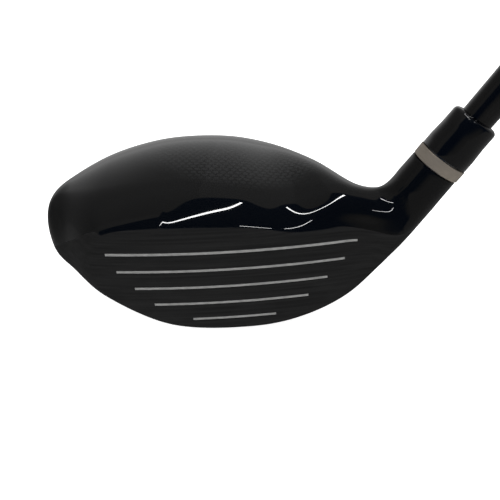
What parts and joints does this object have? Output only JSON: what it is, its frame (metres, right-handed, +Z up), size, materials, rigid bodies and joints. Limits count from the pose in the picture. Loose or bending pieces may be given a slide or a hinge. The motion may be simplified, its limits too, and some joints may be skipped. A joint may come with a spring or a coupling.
{
  "type": "fairway wood",
  "caption": "Fairway wood golf club: rounded hollow head with a scored face, turning hosel adapter, long tapered shaft and rubber grip, standing at address.",
  "frame": {"origin": "middle of the sole's flat, 30 mm behind the leading edge and below the middle of the face", "axes": "+Z up at address, -Y the way the face looks, -X the toe, +X the heel and the way the shaft leans"},
  "size_m": [0.6709, 0.084, 0.9266],
  "materials": {
    "head_metal": "matte black over cast titanium",
    "face_metal": "matte black, finely brushed",
    "crown_lacquer": "gloss clear coat over dark woven carbon",
    "tungsten": "bare tungsten",
    "screw_steel": "bare steel",
    "sleeve_aluminium": "bare aluminium",
    "ring_metal": "satin, warm grey",
    "ferrule_plastic": "gloss black",
    "shaft_graphite": "satin black graphite",
    "plug_plastic": "plain",
    "tape": "paper tape",
    "grip_rubber": "matte black rubber",
    "score_paint": "pale grey paint"
  },
  "bodies": {
    "head": {"head_body": "head_metal", "face_plate": "face_metal", "crown_shell": "crown_lacquer", "score_fill_1": "score_paint", "score_fill_2": "score_paint", "score_fill_3": "score_paint", "score_fill_4": "score_paint", "score_fill_5": "score_paint", "mass_pad": "tungsten"},
    "ring": {"adjust_ring": "ring_metal"},
    "shaft_assembly": {"shaft_sleeve": "sleeve_aluminium", "ferrule": "ferrule_plastic", "shaft": "shaft_graphite", "tip_plug": "plug_plastic", "grip_tape": "tape", "grip": "grip_rubber", "grip_cap": "grip_rubber"},
    "bolt_washer": {"bolt_washer": "sleeve_aluminium"},
    "bolt": {"hosel_bolt": "screw_steel"},
    "weight": {"sole_weight": "tungsten"},
    "weight_screw": {"weight_screw": "screw_steel"}
  },
  "joints": [
    {"name": "shaft_lift", "type": "slide", "parent": "head", "child": "ring", "axis": [0.5299, 0, 0.848], "range_m": [0, 0.04]},
    {"name": "shaft_turn", "type": "hinge", "parent": "ring", "child": "shaft_assembly", "pos_m": [0.05551, -0.01425, 0.04274], "axis": [0.5299, 0, 0.848], "range_deg": [-180, 180]},
    {"name": "bolt_draw", "type": "slide", "parent": "head", "child": "bolt_washer", "axis": [-0.5299, 0, -0.848], "range_m": [0, 0.012]},
    {"name": "bolt_turn", "type": "hinge", "parent": "bolt_washer", "child": "bolt", "pos_m": [0.0394, -0.01425, 0.01696], "axis": [-0.5299, 0, -0.848], "range_deg": [0, 5400]},
    {"name": "weight_draw", "type": "slide", "parent": "head", "child": "weight", "axis": [0, 0, -1], "range_m": [0, 0.01]},
    {"name": "weight_turn", "type": "hinge", "parent": "weight", "child": "weight_screw", "pos_m": [-0.003, 0.015, 0.003], "axis": [0, 0, -1], "range_deg": [0, 4500]}
  ],
  "couplings": [
    {"joint": "bolt_turn", "follows": "bolt_draw", "rad_per_m": 7854},
    {"joint": "weight_turn", "follows": "weight_draw", "rad_per_m": 7854}
  ]
}
